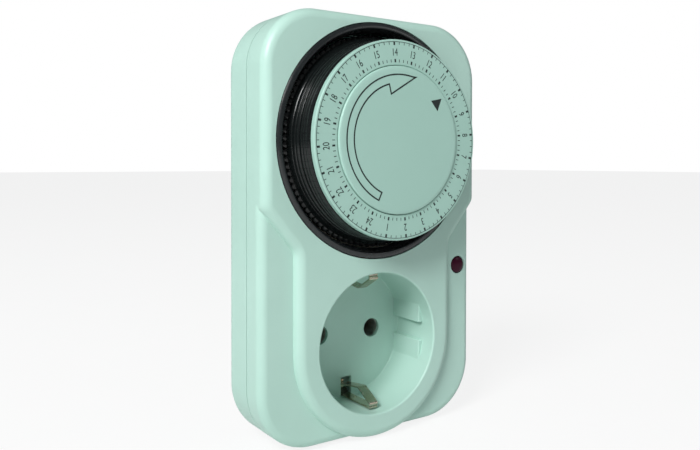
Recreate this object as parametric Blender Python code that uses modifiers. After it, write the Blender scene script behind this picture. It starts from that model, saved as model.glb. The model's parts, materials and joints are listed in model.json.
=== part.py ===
"""Programmable plug-in timer: a 24-hour segment dial above an earthed socket, with a plug at the back.

Lengths are millimetres, and MM turns them into Blender's metres. The pieces are drawn as seen from the
front, X to the right and Z up. A "height" is counted from the plug's end face towards the viewer, so
height h lies at world Y = -h * MM. The world origin is the centre of the plug's end face.
"""

import math

import bmesh
import bpy
from mathutils import Matrix, Vector

MM = 0.001
QUARTER_TURN = math.pi / 2

# Housing
HALF_WIDTH = 37.0
TOP = 93.0
BOTTOM = -26.4
CORNER_RADIUS = 16.5
WALL = 2.0
FIT_GAP = 0.3
FRONT = 39.5
SEAM_DEPTH = 10.0
BACK_DEPTH = 22.0
BACK_WALL = 1.7
FLANK_DEPTH = 2.5
PAD_DEPTH = 6.0
PAD_ROUNDING = 2.8
FLANK_ROUNDING = 2.5
BACK_ROUNDING = 3.0
PAD_OVERHANG = 0.02
BOSS_RADIUS = 27.0
CREASE_LOW = 27.5
CREASE_HIGH = 39.5
CREASE_RADIUS = 4.0
LIP_HEIGHT = 1.6
LIP_THICKNESS = 1.0

# Socket outlet and plug, to the Schuko standard
CUP_RADIUS = 20.0
CUP_WALL = 1.8
CUP_DEPTH = 17.5
CUP_FLOOR = 1.2
PIN_SPACING = 19.0
PIN_HOLE_RADIUS = 2.9
CUP_PAD_DEPTH = 5.0
CUP_PAD_REACH = 18.2
CUP_PAD_TOP = 8.6
NOTCH_HALF_WIDTH = 2.7
EARTH_HALF_WIDTH = 1.5
EARTH_SLOT_HALF_WIDTH = 1.9
EARTH_SLOT_INNER = 13.8
EARTH_SLOT_OUTER = 19.7
PLUG_RADIUS = 18.5
PLUG_CHAMFER = 0.8
PLUG_FACE_WALL = 2.0
PLUG_CAVITY_RADIUS = 14.4
PLUG_GROOVE_REACH = 16.4
PLUG_GROOVE_HALF_WIDTH = 2.9
PLUG_EARTH_REACH = 17.3
PIN_RADIUS = 2.4
PIN_LENGTH = 19.0
PIN_FLANGE_RADIUS = 3.4
SLEEVE_OUTER = 3.2
SLEEVE_INNER = 2.5
SLEEVE_LENGTH = 14.3

# Lamp
LAMP_X = 31.8
LAMP_Z = 19.7
LAMP_RADIUS = 2.5

# Screws that hold the two covers together
SCREW_SPOTS = ((-27.2, 83.2), (27.2, 83.2), (-27.2, -16.6), (27.2, -16.6))
SCREW_BOSS_RADIUS = 3.0
SCREW_POST_RADIUS = 4.2
SCREW_HEAD_RADIUS = 2.9
SCREW_HEAD_HEIGHT = 2.0

# Dial
DIAL_Z = 57.6
SEGMENT_COUNT = 96
SEGMENT_ANGLE = 2 * math.pi / SEGMENT_COUNT
HOUR_ANGLE = 4 * SEGMENT_ANGLE
SCALE_PHASE = math.radians(4.61)
LONE_TRIPPERS = 12
BANK_TRIPPERS = 12
BANK_COUNT = (SEGMENT_COUNT - LONE_TRIPPERS) // BANK_TRIPPERS
LONE_START = QUARTER_TURN + SCALE_PHASE + 4 * HOUR_ANGLE
TRIPPER_THICKNESS = 1.3
TRIPPER_INNER = 25.6
BEZEL_OUTER = 33.2
BEZEL_INNER = 30.6
SCALE_OUTER = 27.45
SCALE_INNER = 20.6
CAP_RADIUS = 20.3
CAP_FRONT = -9.6
SCALE_FRONT = -9.0
SCALE_BACK = -7.2
DRUM_FRONT = -6.9
DRUM_BACK = 5.6
DRUM_INNER = 23.6
DRUM_OUTER = 25.3
DRUM_HUB_RADIUS = 8.0
TRIPPER_BACK = 3.6
TRIPPER_OUTER = 30.2
BANK_GAP = 0.38
POST_RADIUS = 5.0
BORE_RADIUS = 5.3

# Gear train
DIAL_TEETH = 90
DIAL_MODULE = 0.6
PINION_TEETH = 12
WHEEL_TEETH = 40
WHEEL_MODULE = 0.5
MOTOR_TEETH = 10
TRAIN_DIRECTION = math.radians(225)
MOTOR_DIRECTION = math.radians(60)
ARBOR_RADIUS = 0.8
ARBOR_BORE = 1.1
ARBOR_FRONT = 5.95
PLATE_FRONT = 9.2
PLATE_BACK = 10.2
PLATE_PILLARS = ((-29.5, 28.2), (29.5, 28.2), (-29.5, 74.0), (30.2, 74.0))
MOTOR_RADIUS = 17.5
MOTOR_FRONT = 10.5
MOTOR_BACK = 19.8

# Switch
SWITCH_X = 22.3
LEVER_PIVOT_DEPTH = 11.6
LEVER_PIVOT_Z = 59.5
LEVER_HALF_WIDTH = 1.5
SWITCH_HALF_WIDTH = 4.1
SWITCH_TOP = 46.0
BLADE_ROOT_Z = 37.0
BLADE_THICKNESS = 0.35

# Flat bars behind the cup
BAR_FRONT = 19.6
BAR_BACK = 20.0

COLLECTION_NAME = "programmable_timer"
CUTTER_COLLECTION_NAME = "cutters"

# Which way an outline faces: its local X and Y, and the way it is extruded
FACING_FRONT = (QUARTER_TURN, 0, 0)
FACING_SIDE = (QUARTER_TURN, 0, -QUARTER_TURN)


def depth(distance):
    """Height of the level that lies this far behind the front face."""
    return FRONT - distance


def polar(radius, angle, centre=(0.0, 0.0)):
    """Point at a radius and an angle, anticlockwise from the right."""
    return (centre[0] + radius * math.cos(angle), centre[1] + radius * math.sin(angle))


TRAIN_CENTRE = polar((DIAL_TEETH + PINION_TEETH) * DIAL_MODULE / 2, TRAIN_DIRECTION, (0.0, DIAL_Z))
MOTOR_CENTRE = polar((WHEEL_TEETH + MOTOR_TEETH) * WHEEL_MODULE / 2, MOTOR_DIRECTION, TRAIN_CENTRE)


# ---------------------------------------------------------------------------
# Scene and materials
# ---------------------------------------------------------------------------

def clear_scene():
    for scene_object in list(bpy.data.objects):
        bpy.data.objects.remove(scene_object, do_unlink=True)


def new_collection(name):
    collection = bpy.data.collections.new(name)
    bpy.context.scene.collection.children.link(collection)
    return collection


def plain_material(name, colour, roughness, metallic=0.0):
    material = bpy.data.materials.new(name)
    material.use_nodes = True
    shader = material.node_tree.nodes["Principled BSDF"]
    shader.inputs["Base Color"].default_value = (*colour, 1.0)
    shader.inputs["Roughness"].default_value = roughness
    shader.inputs["Metallic"].default_value = metallic
    return material


def make_materials():
    return {
        "housing": plain_material("housing", (0.62, 0.79, 0.72), 0.35),
        "dial_black": plain_material("dial_black", (0.012, 0.014, 0.014), 0.3),
        "scale_white": plain_material("scale_white", (0.66, 0.82, 0.76), 0.35),
        "natural_plastic": plain_material("natural_plastic", (0.72, 0.7, 0.62), 0.5),
        "switch_plastic": plain_material("switch_plastic", (0.09, 0.08, 0.07), 0.5),
        "lamp_red": plain_material("lamp_red", (0.09, 0.003, 0.03), 0.15),
        "lamp_glass": plain_material("lamp_glass", (0.8, 0.55, 0.45), 0.1),
        "contact_brass": plain_material("contact_brass", (0.6, 0.45, 0.2), 0.3, 1.0),
        "nickel": plain_material("nickel", (0.5, 0.48, 0.42), 0.3, 1.0),
        "steel": plain_material("steel", (0.45, 0.45, 0.45), 0.4, 1.0),
        "wire_blue": plain_material("wire_blue", (0.02, 0.08, 0.3), 0.5),
        "wire_brown": plain_material("wire_brown", (0.12, 0.05, 0.02), 0.5),
    }


# ---------------------------------------------------------------------------
# Outlines
# ---------------------------------------------------------------------------

def inset_corners(corners, inset):
    """Move an anticlockwise outline of (x, z, radius) corners inwards by one distance."""
    moved = []
    count = len(corners)
    for index, (x, z, radius) in enumerate(corners):
        here = Vector((x, z))
        arriving = (here - Vector(corners[index - 1][:2])).normalized()
        leaving = (Vector(corners[(index + 1) % count][:2]) - here).normalized()
        turn = arriving.x * leaving.y - arriving.y * leaving.x
        inward = Vector((-arriving.y, arriving.x)) + Vector((-leaving.y, leaving.x))
        shift = inward * inset / (1 + arriving.dot(leaving))
        new_radius = radius - math.copysign(inset, turn) if radius else 0.0
        moved.append((x + shift.x, z + shift.y, max(new_radius, 0.0)))
    return moved


def rounded(corners, quarter_steps):
    """Closed outline through (x, z, radius) corners, each turned by an arc of its radius."""
    outline = []
    count = len(corners)
    for index, (x, z, radius) in enumerate(corners):
        here = Vector((x, z))
        if radius <= 0:
            outline.append(here)
            continue
        back = (Vector(corners[index - 1][:2]) - here).normalized()
        ahead = (Vector(corners[(index + 1) % count][:2]) - here).normalized()
        half_angle = back.angle(ahead) / 2
        centre = here + (back + ahead).normalized() * radius / math.sin(half_angle)
        spoke = here + back * radius / math.tan(half_angle) - centre
        turn = math.copysign(math.pi - 2 * half_angle, ahead.x * back.y - ahead.y * back.x)
        steps = max(1, round(quarter_steps * abs(turn) / QUARTER_TURN))
        for step in range(steps + 1):
            outline.append(centre + Matrix.Rotation(turn * step / steps, 2) @ spoke)
    kept = [point for place, point in enumerate(outline) if (point - outline[place - 1]).length > 1e-4]
    return [(point.x, point.y) for point in kept]


def body_outline(inset, quarter_steps=7):
    corners = [
        (HALF_WIDTH, TOP, CORNER_RADIUS),
        (-HALF_WIDTH, TOP, CORNER_RADIUS),
        (-HALF_WIDTH, BOTTOM, CORNER_RADIUS),
        (HALF_WIDTH, BOTTOM, CORNER_RADIUS),
    ]
    return rounded(inset_corners(corners, inset), quarter_steps)


def pad_outline(inset, quarter_steps=10):
    """Full width beside the dial, narrowing through two slanted creases to the round socket boss."""
    right = [
        (HALF_WIDTH, CREASE_HIGH, CREASE_RADIUS),
        (HALF_WIDTH, TOP, CORNER_RADIUS),
    ]
    left = [(-x, z, radius) for x, z, radius in reversed(right)]
    boss_left = [(-BOSS_RADIUS, CREASE_LOW, CREASE_RADIUS), (-BOSS_RADIUS, -BOSS_RADIUS, BOSS_RADIUS)]
    boss_right = [(-x, z, radius) for x, z, radius in reversed(boss_left)]
    return rounded(inset_corners(right + left + boss_left + boss_right, inset), quarter_steps)


def ring_outline(radius, steps, centre=(0.0, 0.0)):
    return [polar(radius, 2 * math.pi * step / steps, centre) for step in range(steps)]


def gear_outline(teeth, module, first_tooth):
    """Straight-sided teeth on a pitch circle, slim enough to run with backlash."""
    pitch_radius = teeth * module / 2
    root, tip = pitch_radius - module, pitch_radius + 0.75 * module
    pitch_angle = 2 * math.pi / teeth
    outline = []
    for tooth in range(teeth):
        middle = first_tooth + tooth * pitch_angle
        for radius, share in ((root, -0.29), (tip, -0.13), (tip, 0.13), (root, 0.29)):
            outline.append(polar(radius, middle + share * pitch_angle))
    return outline


def ribbon(path, thickness):
    """Outline of a flat strip of one thickness that follows an open path."""
    points = [Vector(point) for point in path]
    sides = ([], [])
    for index, point in enumerate(points):
        arriving = (point - points[max(index - 1, 0)]) if index else points[1] - point
        leaving = (points[index + 1] - point) if index < len(points) - 1 else arriving
        arriving, leaving = arriving.normalized(), leaving.normalized()
        normal = Vector((-arriving.y - leaving.y, arriving.x + leaving.x))
        shift = normal * (thickness / 2) / (1 + arriving.dot(leaving))
        sides[0].append(point + shift)
        sides[1].append(point - shift)
    return [tuple(point) for point in sides[0]] + [tuple(point) for point in reversed(sides[1])]


# ---------------------------------------------------------------------------
# Solids
# ---------------------------------------------------------------------------

class Workshop:
    """Makes the pieces, each in the object's collection, and the cutters in theirs."""

    def __init__(self):
        self.pieces = new_collection(COLLECTION_NAME)
        self.cutters = new_collection(CUTTER_COLLECTION_NAME)
        self.materials = make_materials()

    def add(self, name, data, location, rotation, material):
        """Link an object as a piece, or as a cutter where no material is given."""
        made = bpy.data.objects.new(name, data)
        made.location = [value * MM for value in location]
        made.rotation_euler = rotation
        if material:
            self.pieces.objects.link(made)
            data.materials.append(self.materials[material])
        else:
            self.cutters.objects.link(made)
            made.hide_render = True
            made.display_type = "WIRE"
        return made

    def plate(self, name, outlines, low, high, material=None, centre=(0.0, 0.0), facing=FACING_FRONT):
        """Flat outline, with any holes after it, extruded from one level to another.

        Facing the front, the levels are heights and the outline is (x, z) from the centre. Facing the
        side, the levels are X and the outline is (height, z).
        """
        curve = bpy.data.curves.new(name + "_outline", "CURVE")
        curve.dimensions = "2D"
        curve.fill_mode = "BOTH"
        curve.extrude = (high - low) / 2 * MM
        for outline in outlines:
            spline = curve.splines.new("POLY")
            spline.points.add(len(outline) - 1)
            spline.use_cyclic_u = True
            for point, (across, up) in zip(spline.points, outline):
                point.co = (across * MM, up * MM, 0, 1)
        drawn = self.add(name + "_outline", curve, (0, 0, 0), (0, 0, 0), None)
        bpy.context.view_layer.update()
        evaluated = drawn.evaluated_get(bpy.context.evaluated_depsgraph_get())
        mesh = bpy.data.meshes.new_from_object(evaluated)
        mesh.name = name
        bpy.data.objects.remove(drawn, do_unlink=True)
        bpy.data.curves.remove(curve)
        shaped = bmesh.new()
        shaped.from_mesh(mesh)
        bmesh.ops.remove_doubles(shaped, verts=shaped.verts, dist=1e-7)
        bmesh.ops.dissolve_limit(shaped, angle_limit=math.radians(0.3), verts=shaped.verts,
                                 edges=shaped.edges)
        bmesh.ops.recalc_face_normals(shaped, faces=shaped.faces)
        shaped.to_mesh(mesh)
        shaped.free()
        mesh.materials.clear()
        middle = (low + high) / 2
        location = (centre[0], -middle, centre[1]) if facing == FACING_FRONT else (middle, 0, centre[1])
        return self.add(name, mesh, location, facing, material)

    def turned(self, name, profile, steps, material=None, centre=(0.0, 0.0), closed=True):
        """Body turned about an axis through the centre; the profile is (radius, height)."""
        mesh = bpy.data.meshes.new(name)
        corners = [(radius * MM, 0, height * MM) for radius, height in profile]
        edges = [(index, index + 1) for index in range(len(corners) - 1)]
        if closed:
            edges.append((len(corners) - 1, 0))
        mesh.from_pydata(corners, edges, [])
        made = self.add(name, mesh, (centre[0], 0, centre[1]), FACING_FRONT, material)
        screw = made.modifiers.new("turn", "SCREW")
        screw.axis = "Z"
        screw.angle = 2 * math.pi
        screw.steps = steps
        screw.render_steps = steps
        screw.use_merge_vertices = True
        screw.merge_threshold = 1e-6
        return made

    def cylinder(self, name, radius, low, high, centre, steps, material=None):
        mesh = bpy.data.meshes.new(name)
        shaped = bmesh.new()
        bmesh.ops.create_cone(shaped, cap_ends=True, segments=steps, radius1=radius * MM,
                              radius2=radius * MM, depth=(high - low) * MM)
        shaped.to_mesh(mesh)
        shaped.free()
        return self.add(name, mesh, (centre[0], -(low + high) / 2, centre[1]), FACING_FRONT, material)

    def block(self, name, across, heights, upright, material=None):
        """Box between two X values, two heights and two Z values."""
        mesh = bpy.data.meshes.new(name)
        shaped = bmesh.new()
        size = [(pair[1] - pair[0]) * MM for pair in (across, heights, upright)]
        bmesh.ops.create_cube(shaped, size=1, matrix=Matrix.Diagonal((*size, 1)))
        shaped.to_mesh(mesh)
        shaped.free()
        middle = (sum(across) / 2, -sum(heights) / 2, sum(upright) / 2)
        return self.add(name, mesh, middle, (0, 0, 0), material)

    def wire(self, name, route, radius, material):
        """Round wire through (x, height, z) points."""
        curve = bpy.data.curves.new(name, "CURVE")
        curve.dimensions = "3D"
        curve.bevel_depth = radius * MM
        curve.bevel_resolution = 1
        curve.use_fill_caps = True
        spline = curve.splines.new("POLY")
        spline.points.add(len(route) - 1)
        for point, (x, height, z) in zip(spline.points, route):
            point.co = (x * MM, -height * MM, z * MM, 1)
        return self.add(name, curve, (0, 0, 0), (0, 0, 0), material)


def boolean(target, other, operation):
    modifier = target.modifiers.new(f"{operation.lower()} {other.name}", "BOOLEAN")
    modifier.operation = operation
    modifier.solver = "EXACT"
    modifier.object = other


def cut(target, *others):
    for other in others:
        boolean(target, other, "DIFFERENCE")


def join(target, *others):
    for other in others:
        boolean(target, other, "UNION")


def round_edge(target, level, width, steps):
    """Round the edges of the end face that lies at one local level."""
    shaped = bmesh.new()
    shaped.from_mesh(target.data)
    weights = shaped.edges.layers.float.new("bevel_weight_edge")
    for edge in shaped.edges:
        on_face = all(abs(corner.co.z - level * MM) < 1e-6 for corner in edge.verts)
        if on_face and edge.calc_face_angle(0) > math.radians(30):
            edge[weights] = 1.0
    shaped.to_mesh(target.data)
    shaped.free()
    bevel = target.modifiers.new("round edge", "BEVEL")
    bevel.limit_method = "WEIGHT"
    bevel.width = width * MM
    bevel.segments = steps


def smooth(target, angle=35):
    """Shade a piece smoothly, apart from its sharp edges."""
    if target.type == "MESH":
        target.data.shade_smooth()
        target.data.set_sharp_from_angle(angle=math.radians(angle))


# ---------------------------------------------------------------------------
# Covers
# ---------------------------------------------------------------------------

def make_front_cover(shop):
    slab_low, slab_high = depth(SEAM_DEPTH) + FIT_GAP / 2, depth(FLANK_DEPTH)
    pad_low = depth(PAD_DEPTH)
    cover = shop.plate("front_cover", [body_outline(PAD_OVERHANG)], slab_low, slab_high, "housing")
    round_edge(cover, (slab_high - slab_low) / 2, FLANK_ROUNDING, 3)
    pad = shop.plate("pad", [pad_outline(0)], pad_low, FRONT)
    round_edge(pad, (FRONT - pad_low) / 2, PAD_ROUNDING, 3)
    join(cover, pad)
    cut(cover, shop.plate("cavity", [body_outline(WALL)], slab_low - 1, depth(FLANK_DEPTH + WALL)))
    cut(cover, shop.plate("pad_cavity", [pad_outline(WALL + 0.1)], depth(FLANK_DEPTH + WALL + 0.5),
                          depth(WALL)))
    add_screw_bosses(shop, cover)
    add_socket_cup(shop, cover)
    cut(cover, shop.cylinder("dial_hole", BEZEL_OUTER + FIT_GAP, depth(3.3), FRONT + 1,
                             (0, DIAL_Z), 64))
    cut(cover, shop.cylinder("lamp_hole", LAMP_RADIUS + 0.25, depth(6), FRONT,
                             (LAMP_X, LAMP_Z), 24))
    return cover


def add_screw_bosses(shop, cover):
    """Blind bosses behind the front wall, in the four corners."""
    for number, (x, z) in enumerate(SCREW_SPOTS, 1):
        front_wall = WALL if z > 0 else FLANK_DEPTH + WALL
        boss_top = depth(front_wall - 0.5)
        join(cover, shop.cylinder(f"boss_{number}", SCREW_BOSS_RADIUS, depth(17), boss_top, (x, z), 16))
        cut(cover, shop.cylinder(f"boss_bore_{number}", 1.55, depth(18), depth(8), (x, z), 12))


def add_socket_cup(shop, cover):
    """Round socket recess with pin holes, earth slots and, at each side, a notch between flat pads."""
    floor_back = depth(CUP_DEPTH + CUP_FLOOR)
    join(cover, shop.cylinder("cup_wall", CUP_RADIUS + CUP_WALL, floor_back, depth(1), (0, 0), 48))
    cut(cover, shop.cylinder("cup_recess", CUP_RADIUS, depth(CUP_DEPTH), FRONT + 1, (0, 0), 48))
    pad_heights = (depth(CUP_DEPTH + 0.5), depth(CUP_PAD_DEPTH))
    for side in (-1, 1):
        across = sorted((side * CUP_PAD_REACH, side * CUP_RADIUS))
        for end in (-1, 1):
            upright = sorted((end * NOTCH_HALF_WIDTH, end * CUP_PAD_TOP))
            join(cover, shop.block(f"cup_pad_{side}_{end}", across, pad_heights, upright))
        cut(cover, shop.cylinder(f"pin_hole_{side}", PIN_HOLE_RADIUS, floor_back - 1,
                                 depth(CUP_DEPTH - 1), (side * PIN_SPACING / 2, 0), 24))
        upright = sorted((side * EARTH_SLOT_INNER, side * EARTH_SLOT_OUTER))
        cut(cover, shop.block(f"earth_slot_{side}", (-EARTH_SLOT_HALF_WIDTH, EARTH_SLOT_HALF_WIDTH),
                              (floor_back - 1, depth(CUP_DEPTH - 0.5)), upright))


def make_rear_cover(shop):
    seam, back = depth(SEAM_DEPTH) - FIT_GAP / 2, depth(BACK_DEPTH)
    floor = back + BACK_WALL
    cover = shop.plate("rear_cover", [body_outline(0)], back, seam, "housing")
    round_edge(cover, -(seam - back) / 2, BACK_ROUNDING, 3)
    lip_inset = WALL + FIT_GAP
    join(cover, shop.plate("lip", [body_outline(lip_inset)], seam - 1, seam + LIP_HEIGHT))
    cut(cover, shop.plate("lip_cavity", [body_outline(lip_inset + LIP_THICKNESS)], seam - 2,
                          seam + LIP_HEIGHT + 1))
    cut(cover, shop.plate("rear_cavity", [body_outline(WALL)], floor, seam - 1.5))
    for number, (x, z) in enumerate(SCREW_SPOTS, 1):
        join(cover, shop.cylinder(f"screw_post_{number}", SCREW_POST_RADIUS, floor - 0.5, depth(17.3),
                                  (x, z), 16))
        cut(cover, shop.cylinder(f"screw_recess_{number}", SCREW_HEAD_RADIUS + 0.4, back - 1, back + 2.7,
                                 (x, z), 16))
        cut(cover, shop.cylinder(f"screw_way_{number}", 1.9, back, depth(16), (x, z), 12))
    for number, spot in enumerate(PLATE_PILLARS, 1):
        join(cover, shop.cylinder(f"plate_pillar_{number}", 1.8, floor - 0.5,
                                  depth(PLATE_BACK + FIT_GAP), spot, 12))
    add_plug_body(shop, cover)
    return cover


def add_plug_body(shop, cover):
    """Round plug base with side grooves, earth channels and pin holes."""
    inside = depth(BACK_DEPTH) + 1
    profile = [(0, inside), (PLUG_RADIUS, inside), (PLUG_RADIUS, PLUG_CHAMFER),
               (PLUG_RADIUS - PLUG_CHAMFER, 0), (0, 0)]
    join(cover, shop.turned("plug_base", profile, 48, closed=False))
    cut(cover, shop.cylinder("plug_cavity", PLUG_CAVITY_RADIUS, PLUG_FACE_WALL,
                             depth(BACK_DEPTH - BACK_WALL) + 1, (0, 0), 48))
    back = depth(BACK_DEPTH)
    for side in (-1, 1):
        across = sorted((side * PLUG_GROOVE_REACH, side * (PLUG_RADIUS + 1)))
        cut(cover, shop.block(f"plug_groove_{side}", across, (-1, back),
                              (-PLUG_GROOVE_HALF_WIDTH, PLUG_GROOVE_HALF_WIDTH)))
        upright = sorted((side * PLUG_EARTH_REACH, side * (PLUG_RADIUS + 0.1)))
        half_slot = (-EARTH_SLOT_HALF_WIDTH, EARTH_SLOT_HALF_WIDTH)
        cut(cover, shop.block(f"plug_earth_slot_{side}", half_slot, (-1, back + BACK_WALL + 1), upright))
        cut(cover, shop.cylinder(f"plug_pin_hole_{side}", PIN_RADIUS + FIT_GAP, -1, 3,
                                 (side * PIN_SPACING / 2, 0), 24))


def make_bezel_ring(shop):
    profile = [
        (BEZEL_INNER, depth(3.0)), (BEZEL_INNER, depth(2.7)), (BEZEL_OUTER - 0.7, depth(-0.3)),
        (BEZEL_OUTER - 0.3, depth(-0.35)), (BEZEL_OUTER, depth(0)), (BEZEL_OUTER, depth(3.0)),
    ]
    return shop.turned("bezel_ring", profile, 64, "dial_black", (0, DIAL_Z))


def make_housing_screw(shop, number, spot):
    head_low = depth(BACK_DEPTH - 0.3)
    profile = [
        (0, depth(9.0)), (1.25, depth(9.6)), (1.25, head_low + SCREW_HEAD_HEIGHT),
        (SCREW_HEAD_RADIUS, head_low + SCREW_HEAD_HEIGHT), (SCREW_HEAD_RADIUS, head_low), (0, head_low),
    ]
    return shop.turned(f"housing_screw_{number}", profile, 16, "steel", spot, closed=False)


# ---------------------------------------------------------------------------
# Dial
# ---------------------------------------------------------------------------

def make_centre_post(shop):
    """Fixed post that the dial turns on, with a blind bore for the cap's stem."""
    bore_floor, top = depth(0), depth(-7.9)
    profile = [
        (0, bore_floor), (2.7, bore_floor), (2.7, top), (POST_RADIUS, top), (POST_RADIUS, depth(7.7)),
        (7.0, depth(7.7)), (7.0, depth(8.9)), (0, depth(8.9)),
    ]
    return shop.turned("centre_post", profile, 32, "natural_plastic", (0, DIAL_Z), closed=False)


def make_program_drum(shop):
    rim_low, rim_high = depth(DRUM_BACK), depth(DRUM_FRONT)
    web_low, web_high = depth(3.4), depth(2.0)
    hub_high = depth(-6.0)
    profile = [
        (BORE_RADIUS, rim_low), (BORE_RADIUS, hub_high), (DRUM_HUB_RADIUS, hub_high),
        (DRUM_HUB_RADIUS, web_high), (DRUM_INNER, web_high), (DRUM_INNER, rim_high),
        (DRUM_OUTER, rim_high), (DRUM_OUTER, rim_low), (DRUM_INNER, rim_low), (DRUM_INNER, web_low),
        (DRUM_HUB_RADIUS, web_low), (DRUM_HUB_RADIUS, rim_low),
    ]
    return shop.turned("program_drum", profile, 48, "dial_black", (0, DIAL_Z))


def make_scale_disc(shop):
    low, high, edge = depth(SCALE_BACK), depth(SCALE_FRONT), 0.3
    profile = [
        (SCALE_INNER, low), (SCALE_INNER, high), (SCALE_OUTER - edge, high),
        (SCALE_OUTER, high - edge), (SCALE_OUTER, low),
    ]
    return shop.turned("scale_disc", profile, 72, "scale_white", (0, DIAL_Z))


def make_centre_cap(shop):
    edge, stem_radius = 0.4, 2.3
    front, back, stem_end = depth(CAP_FRONT), depth(-8.2), depth(-1.0)
    profile = [
        (0, front), (CAP_RADIUS - edge, front), (CAP_RADIUS, front - edge), (CAP_RADIUS, back),
        (stem_radius, back), (stem_radius, stem_end), (0, stem_end),
    ]
    return shop.turned("centre_cap", profile, 64, "scale_white", (0, DIAL_Z), closed=False)


def make_dial_gear(shop):
    outlines = [gear_outline(DIAL_TEETH, DIAL_MODULE, TRAIN_DIRECTION), ring_outline(BORE_RADIUS, 32)]
    return shop.plate("dial_gear", outlines, depth(7.4), depth(6.0), "natural_plastic", (0, DIAL_Z))


def make_clutch_spring(shop):
    profile = [(8.6, depth(4.1)), (8.6, depth(3.7)), (15.0, depth(5.3)), (15.0, depth(5.7))]
    return shop.turned("clutch_spring", profile, 32, "steel", (0, DIAL_Z))


def tripper_profile():
    """Radial section (radius, height): a flared outer wall that ends in a foot."""
    return [
        (TRIPPER_INNER, depth(DRUM_FRONT)), (27.6, depth(DRUM_FRONT)), (28.0, depth(-3.0)),
        (28.8, depth(0.4)), (29.5, depth(2.3)), (TRIPPER_OUTER, depth(2.7)),
        (TRIPPER_OUTER, depth(TRIPPER_BACK)), (TRIPPER_INNER, depth(TRIPPER_BACK)),
    ]


def make_lone_trippers(shop):
    """Trippers of their own for three hours, all sharing one mesh."""
    half = TRIPPER_THICKNESS / 2
    first = shop.plate("tripper_01", [tripper_profile()], -half, half, "dial_black")
    trippers = [first]
    for number in range(2, LONE_TRIPPERS + 1):
        copy = first.copy()
        copy.name = f"tripper_{number:02d}"
        shop.pieces.objects.link(copy)
        trippers.append(copy)
    for place, tripper in enumerate(trippers):
        angle = LONE_START + (place + 0.5) * SEGMENT_ANGLE
        tripper.location = (0, 0, DIAL_Z * MM)
        tripper.rotation_euler = (math.pi, -angle, 0)
    return trippers


def make_tripper_bank(shop, number):
    """Twelve neighbouring trippers held together: the same section swept through three hours."""
    spare = BANK_GAP / TRIPPER_INNER
    start = LONE_START + (LONE_TRIPPERS + number * BANK_TRIPPERS) * SEGMENT_ANGLE + spare / 2
    sweep = BANK_TRIPPERS * SEGMENT_ANGLE - spare
    mesh = bpy.data.meshes.new(f"tripper_bank_{number + 1}")
    shaped = bmesh.new()
    corners = [shaped.verts.new((radius * math.cos(start) * MM, radius * math.sin(start) * MM,
                                 height * MM)) for radius, height in tripper_profile()]
    section = shaped.faces.new(corners)
    shape = [section, *section.edges, *section.verts]
    bmesh.ops.spin(shaped, geom=shape, axis=(0, 0, 1), cent=(0, 0, 0), angle=sweep,
                   steps=BANK_TRIPPERS)
    bmesh.ops.recalc_face_normals(shaped, faces=shaped.faces)
    shaped.to_mesh(mesh)
    shaped.free()
    return shop.add(f"tripper_bank_{number + 1}", mesh, (0, 0, DIAL_Z), FACING_FRONT, "dial_black")


# ---------------------------------------------------------------------------
# Movement
# ---------------------------------------------------------------------------

def make_movement_plate(shop):
    corners = [
        (33.0, 25.5, 4), (33.0, 79.0, 6), (26.0, 79.0, 0), (26.0, 55.0, 0), (18.6, 55.0, 0),
        (18.6, 79.0, 0), (-33.0, 79.0, 6), (-33.0, 25.5, 4),
    ]
    shaft_holes = [ring_outline(ARBOR_BORE, 16, TRAIN_CENTRE), ring_outline(1.6, 16, MOTOR_CENTRE)]
    return shop.plate("movement_plate", [rounded(corners, 4), *shaft_holes], depth(PLATE_BACK),
                      depth(PLATE_FRONT), "natural_plastic")


def make_reduction_gear(shop):
    """Wheel driven by the motor, in one piece with the pinion that drives the dial."""
    pinion_tooth = TRAIN_DIRECTION - math.pi + math.pi / PINION_TEETH
    bore = ring_outline(ARBOR_BORE, 16)
    wheel = shop.plate("reduction_gear", [gear_outline(WHEEL_TEETH, WHEEL_MODULE, MOTOR_DIRECTION), bore],
                       depth(8.7), depth(7.9), "natural_plastic", TRAIN_CENTRE)
    pinion = shop.plate("pinion", [gear_outline(PINION_TEETH, DIAL_MODULE, pinion_tooth), bore],
                        depth(8.2), depth(ARBOR_FRONT), None, TRAIN_CENTRE)
    join(wheel, pinion)
    return wheel


def make_motor(shop):
    """Flat synchronous motor can, and the pinion on its shaft."""
    can_low, can_high = depth(MOTOR_BACK), depth(MOTOR_FRONT)
    bore_radius, bore_floor, edge = 1.2, can_high - 2.2, 0.8
    profile = [
        (0, bore_floor), (bore_radius, bore_floor), (bore_radius, can_high),
        (MOTOR_RADIUS - edge, can_high), (MOTOR_RADIUS, can_high - edge), (MOTOR_RADIUS, can_low),
        (0, can_low),
    ]
    can = shop.turned("motor_can", profile, 40, "steel", MOTOR_CENTRE, closed=False)
    first_tooth = MOTOR_DIRECTION - math.pi + math.pi / MOTOR_TEETH
    pinion = shop.plate("motor_pinion", [gear_outline(MOTOR_TEETH, WHEEL_MODULE, first_tooth)],
                        depth(8.9), depth(7.7), "contact_brass", MOTOR_CENTRE)
    join(pinion, shop.cylinder("motor_shaft", 0.8, can_high - 1.8, depth(8.5), MOTOR_CENTRE, 12))
    return can, pinion


def make_motor_leads(shop):
    live = [(2.4, depth(15.0), 44.0), (3.6, depth(16.5), 42.5), (4.5, depth(18.6), 39.0),
            (5.2, depth(19.6), 34.0)]
    neutral = [(-12.0, depth(14.0), 28.9), (-11.8, depth(15.5), 27.0), (-10.8, depth(18.3), 25.6),
               (-9.7, depth(19.6), 24.6)]
    shop.wire("motor_lead_live", live, 0.5, "wire_brown")
    shop.wire("motor_lead_neutral", neutral, 0.5, "wire_blue")


# ---------------------------------------------------------------------------
# Switch
# ---------------------------------------------------------------------------

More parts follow.
